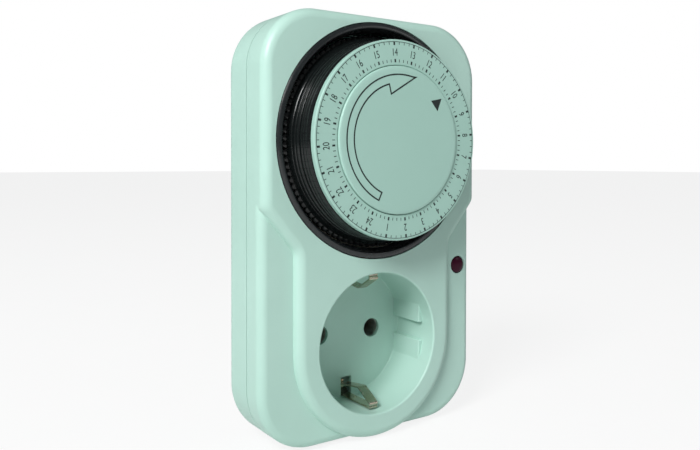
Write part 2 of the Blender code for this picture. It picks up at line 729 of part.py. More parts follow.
def make_switch_base(shop):
    """Block with a pocket for the contacts and two ears for the lever's pin."""
    left, right = SWITCH_X - SWITCH_HALF_WIDTH, SWITCH_X + SWITCH_HALF_WIDTH
    top, front, ear_width = SWITCH_TOP, depth(10.6), 2.0
    base = shop.block("switch_base", (left, right), (depth(19.0), front), (34.0, top), "switch_plastic")
    for number, across in enumerate(((left, left + ear_width), (right - ear_width, right)), 1):
        join(base, shop.block(f"ear_{number}", across, (depth(13.6), depth(10.7)), (top - 1, 61.5)))
    cut(base, shop.block("contact_pocket", (left + 1.8, right - 1.8), (depth(14.8), front + 1),
                         (BLADE_ROOT_Z - 1, top + 1)))
    cut(base, pin_cylinder(shop, "pin_bore", ARBOR_BORE, 12, None))
    return base


def pin_cylinder(shop, name, radius, length, material):
    """Cylinder along X on the follower lever's pivot."""
    pin = shop.cylinder(name, radius, -length / 2, length / 2, (0, 0), 16, material)
    pin.location = (SWITCH_X * MM, -depth(LEVER_PIVOT_DEPTH) * MM, LEVER_PIVOT_Z * MM)
    pin.rotation_euler = (0, QUARTER_TURN, 0)
    return pin


def make_follower_lever(shop):
    """Rocking lever: its nose waits behind the trippers' feet, and its tail faces the blade."""
    pivot_height = depth(LEVER_PIVOT_DEPTH)
    points = [
        (6.05, 76.0), (7.9, 74.6), (7.9, 64.0), (9.6, 59.0), (10.2, 57.0), (13.2, 56.0), (13.2, 47.6),
        (14.4, 47.6), (14.4, 57.0), (13.4, 60.5), (9.3, 66.0), (9.3, 78.6), (7.3, 78.6), (6.05, 77.6),
    ]
    outline = [(depth(behind) - pivot_height, z - LEVER_PIVOT_Z) for behind, z in points]
    bore = ring_outline(ARBOR_BORE, 16)
    lever = shop.plate("follower_lever", [outline, bore], SWITCH_X - LEVER_HALF_WIDTH,
                       SWITCH_X + LEVER_HALF_WIDTH, "natural_plastic", (0, LEVER_PIVOT_Z), FACING_SIDE)
    lever.location.y = -pivot_height * MM
    return lever


def make_contacts(shop):
    """Moving blade, hinged at its root, and the fixed contact in front of it."""
    across = (SWITCH_X - LEVER_HALF_WIDTH, SWITCH_X + LEVER_HALF_WIDTH)
    for name, front, top in (("contact_blade", 12.6, 50.5), ("fixed_contact", 10.7, 49.0)):
        shop.block(name, across, (depth(front + BLADE_THICKNESS), depth(front)), (BLADE_ROOT_Z, top),
                   "contact_brass")


# ---------------------------------------------------------------------------
# Plug, socket contacts and wiring
# ---------------------------------------------------------------------------

def make_plug_pin(shop, name, x):
    flange_low, flange_high, tip = PLUG_FACE_WALL + FIT_GAP, PLUG_FACE_WALL + 2.1, 1.2
    profile = [
        (0, flange_high), (PIN_FLANGE_RADIUS, flange_high), (PIN_FLANGE_RADIUS, flange_low),
        (PIN_RADIUS, flange_low), (PIN_RADIUS, tip - PIN_LENGTH), (PIN_RADIUS - 0.4, 0.35 - PIN_LENGTH),
        (PIN_RADIUS - tip, -PIN_LENGTH), (0, -PIN_LENGTH),
    ]
    return shop.turned(name, profile, 24, "nickel", (x, 0), closed=False)


def make_sleeve(shop, name, x):
    high = depth(CUP_DEPTH + CUP_FLOOR + 0.5)
    low = high - SLEEVE_LENGTH
    profile = [(SLEEVE_INNER, low), (SLEEVE_INNER, high), (SLEEVE_OUTER, high), (SLEEVE_OUTER, low)]
    return shop.turned(name, profile, 20, "nickel", (x, 0))


def make_strips(shop):
    """Flat bars behind the cup: live to the switch, switch to sleeve, and neutral."""
    level = (depth(BAR_BACK), depth(BAR_FRONT))
    pin_level = PLUG_FACE_WALL + 1.8
    shop.block("load_strip", (10.0, 13.0), level, (3.6, 33.0), "contact_brass")
    live_riser = [(6.2, 8.4), (9.2, 8.4), (9.2, 37.0), (19.0, 37.0), (19.0, 40.0), (6.2, 40.0)]
    live = shop.plate("live_strip", [live_riser], *level, "contact_brass")
    tail = ribbon([(level[1] - 0.1, 8.7), (pin_level, 8.7), (pin_level, 3.7)], 0.5)
    join(live, shop.plate("live_tail", [tail], 6.2, 9.2, None, (0, 0), FACING_SIDE))
    middle = sum(level) / 2
    neutral = ribbon([(pin_level, 4.0), (middle, 4.0), (middle, 23.5)], BAR_BACK - BAR_FRONT)
    shop.plate("neutral_strip", [neutral], -11.0, -8.0, "contact_brass", (0, 0), FACING_SIDE)


def make_earth_parts(shop):
    """Strips from the cup to the plug's channels, sprung leaves in the cup, and the bridge."""
    strip_path = [(depth(3.2), 19.2), (depth(18.5), 19.2), (depth(20.0), 17.9), (2.0, 17.9)]
    leaf_path = [(depth(3.4), 18.4), (depth(9.0), 14.8), (depth(18.2), 16.0)]
    for name, side in (("upper", 1), ("lower", -1)):
        half = EARTH_HALF_WIDTH
        strip = ribbon([(height, side * z) for height, z in strip_path], 0.6)
        shop.plate(f"earth_strip_{name}", [strip], -half, half, "nickel", (0, 0), FACING_SIDE)
        hinge_height, hinge_z = leaf_path[0][0], side * leaf_path[0][1]
        leaf = ribbon([(height - hinge_height, side * z - hinge_z) for height, z in leaf_path], 0.5)
        piece = shop.plate(f"earth_leaf_{name}", [leaf], -half, half, "nickel", (0, hinge_z), FACING_SIDE)
        piece.location.y = -hinge_height * MM
    outer, inner, steps = 17.3, 15.0, 20
    angles = [math.pi * (0.5 + step / steps) for step in range(steps + 1)]
    outline = [polar(outer, angle) for angle in angles]
    outline += [polar(inner, angle) for angle in reversed(angles)]
    shop.plate("earth_bridge", [outline], depth(19.3), depth(18.95), "nickel")


def make_lamp(shop):
    """Lens in the right flank, neon lamp behind it, resistor and lead."""
    flange_radius, flange_front, flange_back = 2.9, depth(4.8), depth(6.2)
    dome = [
        (0, depth(2.1)), (1.4, depth(2.2)), (LAMP_RADIUS, depth(2.6)), (LAMP_RADIUS, flange_front),
        (flange_radius, flange_front), (flange_radius, flange_back), (0, flange_back),
    ]
    shop.turned("lamp_lens", dome, 24, "lamp_red", (LAMP_X, LAMP_Z), closed=False)
    bulb = [(0, depth(6.8)), (0.9, depth(7.1)), (1.5, depth(8.0)), (1.5, depth(14.5)), (0, depth(14.5))]
    shop.turned("neon_lamp", bulb, 16, "lamp_glass", (LAMP_X, LAMP_Z), closed=False)
    shop.wire("lamp_lead", [(LAMP_X, depth(14.9), LAMP_Z), (LAMP_X - 0.6, depth(17.0), LAMP_Z),
                            (27.5, depth(19.0), 22.5), (21.0, depth(19.4), 26.0),
                            (13.7, depth(19.5), 28.0)], 0.45, "wire_brown")
    body = [(0, 8.5), (0.3, 8.5), (0.3, 3.8), (1.1, 3.5), (1.1, -3.5), (0.3, -3.8), (0.3, -8.5), (0, -8.5)]
    resistor = shop.turned("lamp_resistor", body, 12, "natural_plastic", closed=False)
    resistor.location = (LAMP_X * MM, -depth(17.4) * MM, 9.0 * MM)
    resistor.rotation_euler = (0, 0, 0)


# ---------------------------------------------------------------------------
# Assembly
# ---------------------------------------------------------------------------

def carry(shop, name, x, height, z, children):
    """Parent pieces to an empty on the axis that they turn or sit on."""
    anchor = bpy.data.objects.new(name, None)
    anchor.location = (x * MM, -height * MM, z * MM)
    anchor.empty_display_size = 5 * MM
    shop.pieces.objects.link(anchor)
    for child in children:
        child.parent = anchor
        child.matrix_parent_inverse = Matrix.Translation(-anchor.location)


def build():
    clear_scene()
    shop = Workshop()
    housing = [make_front_cover(shop), make_rear_cover(shop), make_bezel_ring(shop)]
    housing += [make_housing_screw(shop, number, spot) for number, spot in enumerate(SCREW_SPOTS, 1)]
    dial = [make_program_drum(shop), make_scale_disc(shop), make_dial_gear(shop),
            make_clutch_spring(shop), *make_lone_trippers(shop)]
    dial += [make_tripper_bank(shop, number) for number in range(BANK_COUNT)]
    housing += [make_centre_post(shop), make_centre_cap(shop), make_movement_plate(shop)]
    shop.cylinder("reduction_arbor", ARBOR_RADIUS, depth(PLATE_BACK), depth(ARBOR_FRONT), TRAIN_CENTRE,
                  16, "steel")
    reduction_gear = make_reduction_gear(shop)
    motor_can, motor_pinion = make_motor(shop)
    make_motor_leads(shop)
    make_switch_base(shop)
    pin_cylinder(shop, "lever_pin", ARBOR_RADIUS, 8.2, "steel")
    make_follower_lever(shop)
    make_contacts(shop)
    for name, side in (("live", 1), ("neutral", -1)):
        make_plug_pin(shop, f"plug_pin_{name}", side * PIN_SPACING / 2)
        make_sleeve(shop, f"socket_sleeve_{name}", side * PIN_SPACING / 2)
    make_strips(shop)
    make_earth_parts(shop)
    make_lamp(shop)
    bpy.context.view_layer.update()
    carry(shop, "housing_anchor", 0, 0, 0, housing)
    carry(shop, "dial_axis", 0, FRONT, DIAL_Z, dial)
    carry(shop, "train_axis", TRAIN_CENTRE[0], depth(8), TRAIN_CENTRE[1], [reduction_gear])
    carry(shop, "motor_axis", MOTOR_CENTRE[0], depth(8), MOTOR_CENTRE[1], [motor_can, motor_pinion])
    for piece in shop.pieces.objects:
        smooth(piece)


build()
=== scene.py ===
"""Looks of the plug-in programmable timer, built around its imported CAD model.

As in the CAD model, lengths are millimetres that MM turns into metres, and a "height" is counted from
the plug's end face towards the viewer, so height h lies at world Y = -h * MM.
"""
import json
import math

import bmesh
import bpy
from mathutils import Matrix, Vector


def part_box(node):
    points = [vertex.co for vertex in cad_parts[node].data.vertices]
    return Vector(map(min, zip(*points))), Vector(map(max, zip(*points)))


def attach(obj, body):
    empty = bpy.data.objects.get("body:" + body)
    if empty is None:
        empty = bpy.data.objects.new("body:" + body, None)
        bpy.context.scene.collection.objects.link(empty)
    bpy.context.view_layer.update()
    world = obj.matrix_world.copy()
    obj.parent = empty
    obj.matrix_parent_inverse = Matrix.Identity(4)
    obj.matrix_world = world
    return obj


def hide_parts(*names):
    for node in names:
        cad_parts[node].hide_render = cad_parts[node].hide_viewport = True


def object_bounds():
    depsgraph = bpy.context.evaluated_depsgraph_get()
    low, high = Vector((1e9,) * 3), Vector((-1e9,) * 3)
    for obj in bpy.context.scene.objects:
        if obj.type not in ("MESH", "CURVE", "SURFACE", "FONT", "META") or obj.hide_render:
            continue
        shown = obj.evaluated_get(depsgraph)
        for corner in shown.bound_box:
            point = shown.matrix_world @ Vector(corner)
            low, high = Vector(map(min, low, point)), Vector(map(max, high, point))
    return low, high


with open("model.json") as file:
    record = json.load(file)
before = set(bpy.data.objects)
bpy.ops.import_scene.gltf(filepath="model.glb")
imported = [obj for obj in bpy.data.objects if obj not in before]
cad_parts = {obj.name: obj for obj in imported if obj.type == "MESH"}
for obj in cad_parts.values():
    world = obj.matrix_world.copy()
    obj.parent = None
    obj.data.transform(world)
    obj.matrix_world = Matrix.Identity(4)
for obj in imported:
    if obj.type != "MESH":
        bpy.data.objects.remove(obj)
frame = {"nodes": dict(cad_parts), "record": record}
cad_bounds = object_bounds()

MM = 0.001
QUARTER_TURN = math.pi / 2
FACING_FRONT = (QUARTER_TURN, 0, 0)
FACING_SIDE = (QUARTER_TURN, 0, -QUARTER_TURN)


def box_mm(node):
    """Lowest and highest corner of a CAD node in millimetres."""
    low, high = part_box(node)
    return Vector(low) / MM, Vector(high) / MM


COVER_LOW, COVER_HIGH = box_mm("front_cover")
REAR_LOW = box_mm("rear_cover")[0]
DISC_LOW, DISC_HIGH = box_mm("scale_disc")
CAP_LOW, CAP_HIGH = box_mm("centre_cap")
BEZEL_LOW, BEZEL_HIGH = box_mm("bezel_ring")
LENS_LOW, LENS_HIGH = box_mm("lamp_lens")
PIN_LOW, PIN_HIGH = box_mm("plug_pin_live")
LEAF_HIGH = box_mm("earth_leaf_upper")[1]

# Housing
HALF_WIDTH = COVER_HIGH.x
TOP = COVER_HIGH.z
BOTTOM = REAR_LOW.z
FRONT = -COVER_LOW.y
CORNER_RADIUS = 16.5
WALL = 2.0
FIT_GAP = 0.3
SEAM_DEPTH = 10.0
BACK_DEPTH = 22.0
BACK_WALL = 1.7
FLANK_DEPTH = 2.5
PAD_DEPTH = 6.0
PAD_ROUNDING = 2.8
FLANK_ROUNDING = 2.5
BACK_ROUNDING = 3.0
PAD_OVERHANG = 0.01
BOSS_RADIUS = -COVER_LOW.z
CREASE_LOW = 27.5
CREASE_HIGH = 39.5
CREASE_RADIUS = 4.0

# Socket outlet and plug
CUP_RADIUS = 20.0
CUP_DEPTH = 17.5
CUP_FLOOR = 1.2
CUP_WALL = 1.8
PIN_X = (PIN_LOW.x + PIN_HIGH.x) / 2
PIN_TIP = -PIN_HIGH.y
PIN_RADIUS = 2.4
PIN_HOLE_RADIUS = 2.9
CUP_PAD_DEPTH = 5.0
CUP_PAD_REACH = 18.2
CUP_PAD_TOP = 8.8
NOTCH_HALF_WIDTH = 2.7
EARTH_HALF_WIDTH = LEAF_HIGH.x
EARTH_SLOT_HALF_WIDTH = 1.9
EARTH_SLOT_INNER = 13.8
EARTH_SLOT_OUTER = 19.7
PLUG_RADIUS = 18.5
PLUG_CAVITY_RADIUS = 14.4
PLUG_GROOVE_REACH = 16.4
PLUG_GROOVE_HALF_WIDTH = 2.9
PLUG_EARTH_REACH = 17.3
SCREW_SPOTS = ((-27.2, 83.2), (27.2, 83.2), (-27.2, -16.6), (27.2, -16.6))

# Lamp
LAMP_SPOT = ((LENS_LOW.x + LENS_HIGH.x) / 2, (LENS_LOW.z + LENS_HIGH.z) / 2)
LAMP_RADIUS = 2.5

# Dial
DIAL_SPOT = (0.0, (DISC_LOW.z + DISC_HIGH.z) / 2)
DISC_RADIUS = DISC_HIGH.x
DISC_FACE = -DISC_LOW.y
DISC_BACK = -DISC_HIGH.y
DISC_INNER = 20.45
CAP_RADIUS = CAP_HIGH.x
CAP_FACE = -CAP_LOW.y
BEZEL_RADIUS = BEZEL_HIGH.x
BEZEL_FACE = -BEZEL_LOW.y
BEZEL_INNER = 30.6
SEGMENT_COUNT = 96
SEGMENT_ANGLE = 2 * math.pi / SEGMENT_COUNT
HOUR_ANGLE = 4 * SEGMENT_ANGLE
SCALE_PHASE = math.radians(4.61)
TOP_HOUR = 14
LONE_TRIPPERS = 12
BANK_TRIPPERS = 12
BANK_COUNT = 7
LONE_START = QUARTER_TURN + SCALE_PHASE + 4 * HOUR_ANGLE
TRIPPER_INNER = 25.6


def depth(distance):
    """Height of the level that lies this far behind the front face."""
    return FRONT - distance


def polar(radius, angle, centre=(0.0, 0.0)):
    """Point at a radius and an angle, anticlockwise from the right."""
    return (centre[0] + radius * math.cos(angle), centre[1] + radius * math.sin(angle))


# ---------------------------------------------------------------------------
# Outlines
# ---------------------------------------------------------------------------

def inset_corners(corners, inset):
    """Move an anticlockwise outline of (x, z, radius) corners inwards by one distance."""
    moved = []
    count = len(corners)
    for index, (x, z, radius) in enumerate(corners):
        here = Vector((x, z))
        arriving = (here - Vector(corners[index - 1][:2])).normalized()
        leaving = (Vector(corners[(index + 1) % count][:2]) - here).normalized()
        turn = arriving.x * leaving.y - arriving.y * leaving.x
        inward = Vector((-arriving.y, arriving.x)) + Vector((-leaving.y, leaving.x))
        shift = inward * inset / (1 + arriving.dot(leaving))
        new_radius = radius - math.copysign(inset, turn) if radius else 0.0
        moved.append((x + shift.x, z + shift.y, max(new_radius, 0.0)))
    return moved


def rounded(corners, quarter_steps):
    """Closed outline through (x, z, radius) corners, each turned by an arc of its radius."""
    outline = []
    count = len(corners)
    for index, (x, z, radius) in enumerate(corners):
        here = Vector((x, z))
        if radius <= 0:
            outline.append(here)
            continue
        back = (Vector(corners[index - 1][:2]) - here).normalized()
        ahead = (Vector(corners[(index + 1) % count][:2]) - here).normalized()
        half_angle = back.angle(ahead) / 2
        centre = here + (back + ahead).normalized() * radius / math.sin(half_angle)
        spoke = here + back * radius / math.tan(half_angle) - centre
        turn = math.copysign(math.pi - 2 * half_angle, ahead.x * back.y - ahead.y * back.x)
        steps = max(2, round(quarter_steps * abs(turn) / QUARTER_TURN))
        for step in range(steps + 1):
            outline.append(centre + Matrix.Rotation(turn * step / steps, 2) @ spoke)
    kept = [point for place, point in enumerate(outline) if (point - outline[place - 1]).length > 1e-4]
    return [(point.x, point.y) for point in kept]


def body_outline(inset, quarter_steps=24):
    corners = [
        (HALF_WIDTH, TOP, CORNER_RADIUS),
        (-HALF_WIDTH, TOP, CORNER_RADIUS),
        (-HALF_WIDTH, BOTTOM, CORNER_RADIUS),
        (HALF_WIDTH, BOTTOM, CORNER_RADIUS),
    ]
    return rounded(inset_corners(corners, inset), quarter_steps)


def pad_outline(inset, quarter_steps=32):
    """Full width beside the dial, narrowing through two slanted creases to the round socket boss."""
    right = [(HALF_WIDTH, CREASE_HIGH, CREASE_RADIUS), (HALF_WIDTH, TOP, CORNER_RADIUS)]
    left = [(-x, z, radius) for x, z, radius in reversed(right)]
    boss_left = [(-BOSS_RADIUS, CREASE_LOW, CREASE_RADIUS), (-BOSS_RADIUS, -BOSS_RADIUS, BOSS_RADIUS)]
    boss_right = [(-x, z, radius) for x, z, radius in reversed(boss_left)]
    return rounded(inset_corners(right + left + boss_left + boss_right, inset), quarter_steps)


def ring_outline(radius, steps, centre=(0.0, 0.0)):
    return [polar(radius, 2 * math.pi * step / steps, centre) for step in range(steps)]


def ribbon(path, thickness):
    """Outline of a flat strip of one thickness that follows an open path."""
    points = [Vector(point) for point in path]
    sides = ([], [])
    for index, point in enumerate(points):
        arriving = (point - points[max(index - 1, 0)]) if index else points[1] - point
        leaving = (points[index + 1] - point) if index < len(points) - 1 else arriving
        arriving, leaving = arriving.normalized(), leaving.normalized()
        normal = Vector((-arriving.y - leaving.y, arriving.x + leaving.x))
        shift = normal * (thickness / 2) / (1 + arriving.dot(leaving))
        sides[0].append(point + shift)
        sides[1].append(point - shift)
    return [tuple(point) for point in sides[0]] + [tuple(point) for point in reversed(sides[1])]


def band_loops(points, width):
    """Outer and inner outline of a line of one width drawn round a closed anticlockwise path."""
    corners = [(x, z, 0.0) for x, z in points]
    return [[corner[:2] for corner in inset_corners(corners, shift)] for shift in (-width / 2, width / 2)]


def arc(centre, radius, start, end, steps):
    """Points on a quarter or other arc, with angles in degrees."""
    angles = [math.radians(start + (end - start) * step / steps) for step in range(steps + 1)]
    return [polar(radius, angle, centre) for angle in angles]


# ---------------------------------------------------------------------------
# Solids
# ---------------------------------------------------------------------------

def place(name, data, location=(0, 0, 0), rotation=(0, 0, 0)):
    made = bpy.data.objects.new(name, data)
    made.location = [value * MM for value in location]
    made.rotation_euler = rotation
    bpy.context.scene.collection.objects.link(made)
    return made


def evaluated_mesh(source, name):
    bpy.context.view_layer.update()
    depsgraph = bpy.context.evaluated_depsgraph_get()
    mesh = bpy.data.meshes.new_from_object(source.evaluated_get(depsgraph))
    mesh.name = name
    return mesh


def apply_modifiers(target):
    mesh = evaluated_mesh(target, target.data.name)
    target.modifiers.clear()
    target.data = mesh
    return target


def plate(name, outlines, low, high, centre=(0.0, 0.0), facing=FACING_FRONT):
    """Flat outline, with any holes after it, extruded from one level to another."""
    curve = bpy.data.curves.new(name + "_outline", "CURVE")
    curve.dimensions = "2D"
    curve.fill_mode = "BOTH"
    curve.extrude = (high - low) / 2 * MM
    for outline in outlines:
        spline = curve.splines.new("POLY")
        spline.points.add(len(outline) - 1)
        spline.use_cyclic_u = True
        for point, (across, up) in zip(spline.points, outline):
            point.co = (across * MM, up * MM, 0, 1)
    drawn = place(name + "_outline", curve)
    mesh = evaluated_mesh(drawn, name)
    bpy.data.objects.remove(drawn, do_unlink=True)
    bpy.data.curves.remove(curve)
    shaped = bmesh.new()
    shaped.from_mesh(mesh)
    bmesh.ops.remove_doubles(shaped, verts=shaped.verts, dist=1e-7)
    bmesh.ops.dissolve_limit(shaped, angle_limit=math.radians(0.1), verts=shaped.verts,
                             edges=shaped.edges)
    bmesh.ops.recalc_face_normals(shaped, faces=shaped.faces)
    shaped.to_mesh(mesh)
    shaped.free()
    middle = (low + high) / 2
    location = (centre[0], -middle, centre[1]) if facing == FACING_FRONT else (middle, 0, centre[1])
    return place(name, mesh, location, facing)


def turned(name, profile, steps, centre=(0.0, 0.0), closed=True):
    """Body turned about an axis through the centre; the profile is (radius, height)."""
    shaped = bmesh.new()
    rings = []
    for radius, height in profile:
        if radius == 0:
            rings.append([shaped.verts.new((0, 0, height * MM))])
            continue
        spots = [polar(radius, 2 * math.pi * step / steps) for step in range(steps)]
        rings.append([shaped.verts.new((x * MM, y * MM, height * MM)) for x, y in spots])
    pairs = list(zip(rings, rings[1:])) + ([(rings[-1], rings[0])] if closed else [])
    for first, second in pairs:
        for step in range(steps):
            after = (step + 1) % steps
            corners = [first[step % len(first)], first[after % len(first)],
                       second[after % len(second)], second[step % len(second)]]
            unique = [corner for index, corner in enumerate(corners) if corner not in corners[:index]]
            if len(unique) > 2:
                shaped.faces.new(unique)
    bmesh.ops.recalc_face_normals(shaped, faces=shaped.faces)
    mesh = bpy.data.meshes.new(name)
    shaped.to_mesh(mesh)
    shaped.free()
    return place(name, mesh, (centre[0], 0, centre[1]), FACING_FRONT)


def cylinder(name, radius, low, high, centre, steps):
    return turned(name, [(0, high), (radius, high), (radius, low), (0, low)], steps, centre, closed=False)


def block(name, across, heights, upright):
    """Box between two X values, two heights and two Z values."""
    mesh = bpy.data.meshes.new(name)
    shaped = bmesh.new()
    size = [(pair[1] - pair[0]) * MM for pair in (across, heights, upright)]
    bmesh.ops.create_cube(shaped, size=1, matrix=Matrix.Diagonal((*size, 1)))
    shaped.to_mesh(mesh)
    shaped.free()
    return place(name, mesh, (sum(across) / 2, -sum(heights) / 2, sum(upright) / 2))


def combine(target, operation, *tools):
    """Join or cut with other solids, which are used up."""
    for tool in tools:
        modifier = target.modifiers.new(operation.lower(), "BOOLEAN")
        modifier.operation = operation
        modifier.solver = "EXACT"
        modifier.object = tool
        apply_modifiers(target)
        bpy.data.objects.remove(tool, do_unlink=True)
    return target


def join(target, *tools):
    return combine(target, "UNION", *tools)


def cut(target, *tools):
    return combine(target, "DIFFERENCE", *tools)


def round_edge(target, level, width, steps):
    """Round the edges of the end face that lies at one local level."""
    shaped = bmesh.new()
    shaped.from_mesh(target.data)
    weights = shaped.edges.layers.float.new("bevel_weight_edge")
    for edge in shaped.edges:
        on_face = all(abs(corner.co.z - level * MM) < 1e-6 for corner in edge.verts)
        if on_face and edge.calc_face_angle(0) > math.radians(30):
            edge[weights] = 1.0
    shaped.to_mesh(target.data)
    shaped.free()
    bevel = target.modifiers.new("round edge", "BEVEL")
    bevel.limit_method = "WEIGHT"
    bevel.width = width * MM
    bevel.segments = steps
    return apply_modifiers(target)


def soften(target, width, steps=2, angle=40):
    """Small rounding on every sharp edge."""
    bevel = target.modifiers.new("soften", "BEVEL")
    bevel.limit_method = "ANGLE"
    bevel.angle_limit = math.radians(angle)
    bevel.width = width * MM
    bevel.segments = steps
    bevel.use_clamp_overlap = True
    return apply_modifiers(target)


def shade(target, angle=35):
    """Smooth shading, with large flat faces kept flat."""
    target.data.shade_smooth()
    target.data.set_sharp_from_angle(angle=math.radians(angle))
    weighted = target.modifiers.new("weighted normals", "WEIGHTED_NORMAL")
    weighted.keep_sharp = True
    return apply_modifiers(target)


def finished(target, body, slot, material, *nodes):
    """Give a fine piece its material and its body, and hide the CAD nodes that it stands for. The slot
    argument is not used.
    """
    target.data.materials.clear()
    target.data.materials.append(material)
    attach(target, body)
    if nodes:
        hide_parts(*nodes)
    return target


# ---------------------------------------------------------------------------
# Materials
# ---------------------------------------------------------------------------

class Surface:
    """A Principled material, and short ways to add procedural detail to it."""

    def __init__(self, name, colour, roughness, metallic=0.0, **sockets):
        self.material = bpy.data.materials.new(name)
        self.material.use_nodes = True
        self.nodes = self.material.node_tree.nodes
        self.links = self.material.node_tree.links
        self.shader = self.nodes["Principled BSDF"]
        self.shader.inputs["Base Color"].default_value = (*colour, 1)
        self.shader.inputs["Roughness"].default_value = roughness
        self.shader.inputs["Metallic"].default_value = metallic
        for socket, value in sockets.items():
            self.shader.inputs[socket.replace("_", " ")].default_value = value
        self.colour = colour
        self.roughness = roughness
        self.place = self.nodes.new("ShaderNodeTexCoord").outputs["Object"]

    def noise(self, scale, detail=3.0, stretch=(1, 1, 1)):
        """Noise whose scale counts features along one metre."""
        mapping = self.nodes.new("ShaderNodeMapping")
        mapping.inputs["Scale"].default_value = stretch
        self.links.new(self.place, mapping.inputs["Vector"])
        texture = self.nodes.new("ShaderNodeTexNoise")
        texture.inputs["Scale"].default_value = scale
        texture.inputs["Detail"].default_value = detail
        self.links.new(mapping.outputs["Vector"], texture.inputs["Vector"])
        return texture.outputs["Fac"]

    def spread(self, value, low, high, start=0.3, end=0.7):
        """Map a noise value to a range."""
        remap = self.nodes.new("ShaderNodeMapRange")
        for socket, number in (("From Min", start), ("From Max", end), ("To Min", low), ("To Max", high)):
            remap.inputs[socket].default_value = number
        self.links.new(value, remap.inputs["Value"])
        return remap.outputs["Result"]

    def vary_colour(self, value, change, tint):
        """Let the colour drift between a darker, tinted tone and the plain one."""
        mix = self.nodes.new("ShaderNodeMix")
        mix.data_type = "RGBA"
        dark = [part * (1 - change) * tone for part, tone in zip(self.colour, tint)]
        mix.inputs["A"].default_value = (*dark, 1)
        mix.inputs["B"].default_value = (*self.colour, 1)
        self.links.new(self.spread(value, 0, 1), mix.inputs["Factor"])
        self.links.new(mix.outputs["Result"], self.shader.inputs["Base Color"])
        return self

    def vary_roughness(self, value, change):
        self.links.new(self.spread(value, self.roughness - change, self.roughness + change),
                       self.shader.inputs["Roughness"])
        return self

    def bump(self, value, height):
        """Raise the surface by up to a height in millimetres, on top of any earlier bump."""
        made = self.nodes.new("ShaderNodeBump")
        made.inputs["Strength"].default_value = 1.0
        made.inputs["Distance"].default_value = height * MM
        self.links.new(value, made.inputs["Height"])
        normal = self.shader.inputs["Normal"]
        if normal.is_linked:
            self.links.new(normal.links[0].from_socket, made.inputs["Normal"])
        self.links.new(made.outputs["Normal"], normal)
        return self


def moulded(name, colour, roughness, grain=0.004, drift=0.06, **sockets):
    """Injection-moulded plastic: faint flow marks, a fine spark-eroded grain and handling sheen."""
    surface = Surface(name, colour, roughness, **sockets)
    surface.vary_colour(surface.noise(38, 4), drift, (0.98, 1.0, 0.99))
    surface.vary_roughness(surface.noise(160, 5), 0.05)
    surface.bump(surface.noise(90, 2), 0.012)
    surface.bump(surface.noise(3400, 2), grain)
    return surface.material


def metal(name, colour, roughness, brushed=(1, 1, 1), tarnish=0.25):
    """Sheet metal: rolling marks along one direction and patches of tarnish."""
    surface = Surface(name, colour, roughness, 1.0)
    surface.vary_colour(surface.noise(260, 3), tarnish, (1.0, 0.94, 0.8))
    surface.vary_roughness(surface.noise(500, 3), 0.06)
    surface.bump(surface.noise(1500, 3, brushed), 0.002)
    return surface.material


def make_materials():
    wire = {"grain": 0.008, "drift": 0.12}
    return {
        "housing": moulded("housing_plastic", (0.47, 0.69, 0.61), 0.36, Specular_IOR_Level=0.4),
        "dial_black": moulded("black_plastic", (0.006, 0.008, 0.008), 0.2, 0.002, 0.25,
                              Specular_IOR_Level=0.4),
        "bezel_black": moulded("satin_black_plastic", (0.009, 0.012, 0.013), 0.27, 0.002, 0.25,
                               Specular_IOR_Level=0.7),
        "scale_white": moulded("dial_plastic", (0.385, 0.60, 0.525), 0.34, 0.002, 0.03,
                               Specular_IOR_Level=0.4),
        "natural_plastic": moulded("natural_acetal", (0.72, 0.70, 0.62), 0.45),
        "switch_plastic": moulded("switch_thermoset", (0.09, 0.08, 0.07), 0.5, 0.012, 0.2),
        "lamp_red": moulded("lamp_plastic", (0.05, 0.001, 0.016), 0.25, 0.002, 0.2,
                            Specular_IOR_Level=0.2),
        "lamp_glass": moulded("neon_glass", (0.8, 0.55, 0.45), 0.1, 0.001, 0.1,
                              Transmission_Weight=0.7),
        "contact_brass": metal("contact_brass", (0.6, 0.45, 0.2), 0.3, (1, 1, 12)),
        "nickel": metal("dull_nickel", (0.52, 0.49, 0.40), 0.24, (12, 1, 1), 0.1),
        "sleeve_tin": metal("tinned_sleeve", (0.62, 0.66, 0.66), 0.5, (1, 12, 1), 0.1),
        "steel": metal("zinc_plated_steel", (0.45, 0.45, 0.45), 0.38),
        "wire_blue": moulded("blue_insulation", (0.02, 0.08, 0.3), 0.5, **wire),
        "wire_brown": moulded("brown_insulation", (0.12, 0.05, 0.02), 0.5, **wire),
        "ink": moulded("printing_ink", (0.014, 0.024, 0.022), 0.45, 0.002, 0.3),
        "floor": moulded("backdrop_paper", (0.9, 0.9, 0.9), 0.8, 0.01, 0.02, Specular_IOR_Level=0.0),
    }


# ---------------------------------------------------------------------------
# Housing
# ---------------------------------------------------------------------------

CURVE_STEPS = 8
ROUND_STEPS = 128
DIAL_STEPS = 192


